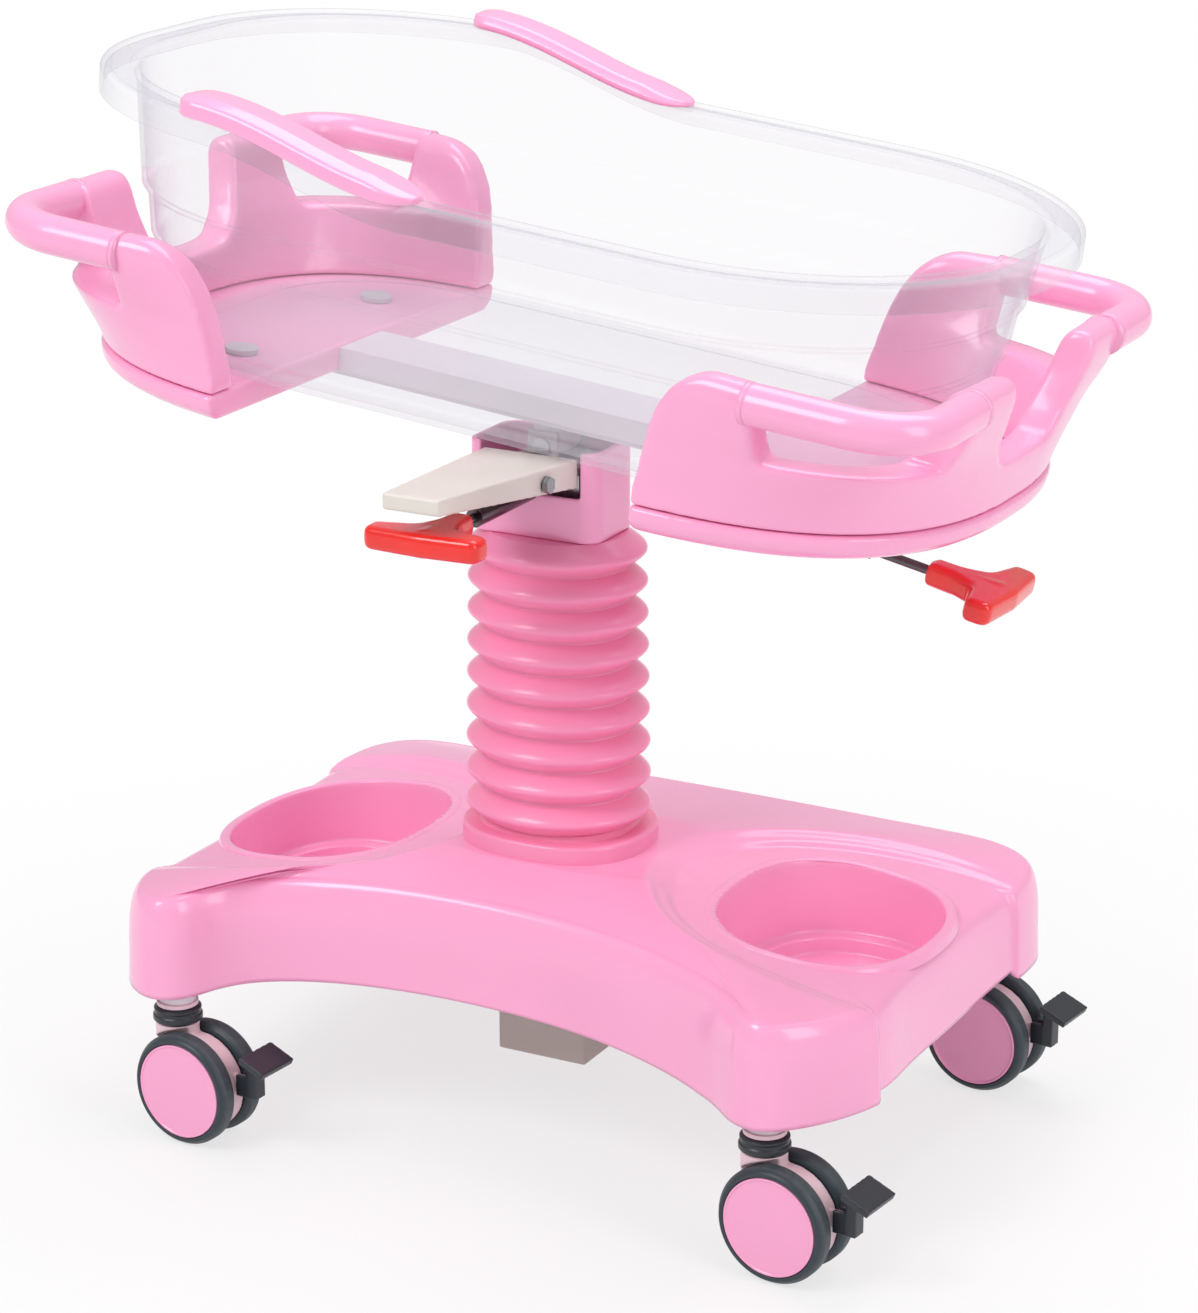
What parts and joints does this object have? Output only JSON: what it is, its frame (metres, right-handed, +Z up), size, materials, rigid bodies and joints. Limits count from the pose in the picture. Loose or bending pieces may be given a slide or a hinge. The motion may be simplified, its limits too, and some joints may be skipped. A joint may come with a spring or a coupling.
{
  "type": "hospital bassinet",
  "caption": "Hospital bassinet with a clear lift-off tub in a tilting cradle with grab handles, on a height-adjustable bellows column over a castored base with storage wells.",
  "frame": {"origin": "on the floor, below the middle of the base and of the four caster stems", "axes": "+X towards the foot end, +Y away from the side with the height lever, +Z up"},
  "size_m": [0.8504, 0.529, 0.9251],
  "materials": {
    "cover_pink": "moulded glossy",
    "steel_frame": "satin grey",
    "steel_bright": "bright",
    "steel_dark": "dark polished",
    "chrome": "polished",
    "beige": "satin beige",
    "bellows_pink": "semi-gloss",
    "glide": "plain",
    "cylinder_black": "gloss black",
    "handle_red": "slightly translucent",
    "lever_beige": "satin beige",
    "rest_rubber": "matt",
    "tub_clear": "clear acrylic",
    "housing_pink": "pale pink",
    "ring_dark": "satin",
    "tyre_slate": "smooth",
    "steel_white": "white powder coat",
    "pedal_dark": "ribbed",
    "shroud_pink": "moulded glossy"
  },
  "bodies": {
    "base": {"base_cover": "cover_pink", "base_frame": "steel_white", "caster_stems": "housing_pink", "column_foot_box": "beige", "column_outer_tube": "steel_frame", "column_glide": "glide", "column_collar": "cover_pink", "bellows": "bellows_pink", "gas_spring_cylinder": "cylinder_black"},
    "mast": {"column_inner_tube": "steel_bright", "gas_spring_rod": "chrome", "column_head": "shroud_pink", "tilt_yoke": "steel_frame", "front_release_guide": "steel_dark"},
    "height_lever": {"height_lever": "lever_beige", "lever_bolt": "steel_bright"},
    "front_release": {"front_release_grip": "handle_red", "front_release_rod": "steel_dark"},
    "cradle": {"cradle_frame": "steel_white", "tilt_pin": "steel_bright", "head_tray": "cover_pink", "foot_tray": "cover_pink", "head_shell": "cover_pink", "foot_shell": "cover_pink", "head_front_handle": "cover_pink", "head_back_handle": "cover_pink", "foot_front_handle": "cover_pink", "foot_back_handle": "cover_pink", "tub_rests": "rest_rubber", "foot_release_guide": "steel_dark"},
    "foot_release": {"foot_release_grip": "handle_red", "foot_release_rod": "steel_dark"},
    "tub": {"tub": "tub_clear", "armrest_front": "cover_pink", "armrest_back": "cover_pink"},
    "head_front_caster_swivel": {"head_front_caster_ring": "ring_dark", "head_front_caster_housing": "housing_pink"},
    "head_front_caster_wheel": {"head_front_caster_tyres": "tyre_slate", "head_front_caster_discs": "cover_pink", "head_front_caster_axle": "steel_bright"},
    "head_front_caster_brake": {"head_front_caster_pedal": "pedal_dark"},
    "foot_front_caster_swivel": {"foot_front_caster_ring": "ring_dark", "foot_front_caster_housing": "housing_pink"},
    "foot_front_caster_wheel": {"foot_front_caster_tyres": "tyre_slate", "foot_front_caster_discs": "cover_pink", "foot_front_caster_axle": "steel_bright"},
    "foot_front_caster_brake": {"foot_front_caster_pedal": "pedal_dark"},
    "head_back_caster_swivel": {"head_back_caster_ring": "ring_dark", "head_back_caster_housing": "housing_pink"},
    "head_back_caster_wheel": {"head_back_caster_tyres": "tyre_slate", "head_back_caster_discs": "cover_pink", "head_back_caster_axle": "steel_bright"},
    "head_back_caster_brake": {"head_back_caster_pedal": "pedal_dark"},
    "foot_back_caster_swivel": {"foot_back_caster_ring": "ring_dark", "foot_back_caster_housing": "housing_pink"},
    "foot_back_caster_wheel": {"foot_back_caster_tyres": "tyre_slate", "foot_back_caster_discs": "cover_pink", "foot_back_caster_axle": "steel_bright"},
    "foot_back_caster_brake": {"foot_back_caster_pedal": "pedal_dark"}
  },
  "joints": [
    {"name": "lift", "type": "slide", "parent": "base", "child": "mast", "axis": [0, 0, 1], "range_m": [-0.12, 0.03], "deforming": ["bellows"]},
    {"name": "tilt", "type": "hinge", "parent": "mast", "child": "cradle", "pos_m": [-0.02, 0, 0.604], "axis": [0, 1, 0], "range_deg": [-18, 6]},
    {"name": "lever_turn", "type": "hinge", "parent": "mast", "child": "height_lever", "pos_m": [-0.026, -0.085, 0.59], "axis": [1, 0, 0], "range_deg": [0, 5], "stiffness_Nm_per_rad": 5, "springref_deg": -5.73},
    {"name": "front_release_pull", "type": "slide", "parent": "mast", "child": "front_release", "axis": [0, -1, 0], "range_m": [0, 0.012], "stiffness_N_per_m": 400, "springref_m": -0.01},
    {"name": "foot_release_pull", "type": "slide", "parent": "cradle", "child": "foot_release", "axis": [0.9792, 0, -0.2028], "range_m": [0, 0.012], "stiffness_N_per_m": 400, "springref_m": -0.01},
    {"name": "tub_lift_off", "type": "slide", "parent": "cradle", "child": "tub", "axis": [0.1045, 0, 0.9945], "range_m": [0, 0.15]},
    {"name": "head_front_caster_swivel_turn", "type": "hinge", "parent": "base", "child": "head_front_caster_swivel", "pos_m": [-0.281, -0.211, 0.12], "axis": [0, 0, 1], "continuous": true},
    {"name": "head_front_caster_wheel_turn", "type": "hinge", "parent": "head_front_caster_swivel", "child": "head_front_caster_wheel", "pos_m": [-0.26011, -0.21319, 0.05], "axis": [0.1045, 0.9945, 0], "continuous": true},
    {"name": "head_front_caster_brake_press", "type": "hinge", "parent": "head_front_caster_swivel", "child": "head_front_caster_brake", "pos_m": [-0.21039, -0.21842, 0.06], "axis": [0.1045, 0.9945, 0], "range_deg": [0, 10]},
    {"name": "foot_front_caster_swivel_turn", "type": "hinge", "parent": "base", "child": "foot_front_caster_swivel", "pos_m": [0.281, -0.211, 0.12], "axis": [0, 0, 1], "continuous": true},
    {"name": "foot_front_caster_wheel_turn", "type": "hinge", "parent": "foot_front_caster_swivel", "child": "foot_front_caster_wheel", "pos_m": [0.30189, -0.21319, 0.05], "axis": [0.1045, 0.9945, 0], "continuous": true},
    {"name": "foot_front_caster_brake_press", "type": "hinge", "parent": "foot_front_caster_swivel", "child": "foot_front_caster_brake", "pos_m": [0.35161, -0.21842, 0.06], "axis": [0.1045, 0.9945, 0], "range_deg": [0, 10]},
    {"name": "head_back_caster_swivel_turn", "type": "hinge", "parent": "base", "child": "head_back_caster_swivel", "pos_m": [-0.281, 0.211, 0.12], "axis": [0, 0, 1], "continuous": true},
    {"name": "head_back_caster_wheel_turn", "type": "hinge", "parent": "head_back_caster_swivel", "child": "head_back_caster_wheel", "pos_m": [-0.26011, 0.2088, 0.05], "axis": [0.1045, 0.9945, 0], "continuous": true},
    {"name": "head_back_caster_brake_press", "type": "hinge", "parent": "head_back_caster_swivel", "child": "head_back_caster_brake", "pos_m": [-0.21039, 0.20358, 0.06], "axis": [0.1045, 0.9945, 0], "range_deg": [0, 10]},
    {"name": "foot_back_caster_swivel_turn", "type": "hinge", "parent": "base", "child": "foot_back_caster_swivel", "pos_m": [0.281, 0.211, 0.12], "axis": [0, 0, 1], "continuous": true},
    {"name": "foot_back_caster_wheel_turn", "type": "hinge", "parent": "foot_back_caster_swivel", "child": "foot_back_caster_wheel", "pos_m": [0.30189, 0.2088, 0.05], "axis": [0.1045, 0.9945, 0], "continuous": true},
    {"name": "foot_back_caster_brake_press", "type": "hinge", "parent": "foot_back_caster_swivel", "child": "foot_back_caster_brake", "pos_m": [0.35161, 0.20358, 0.06], "axis": [0.1045, 0.9945, 0], "range_deg": [0, 10]}
  ]
}
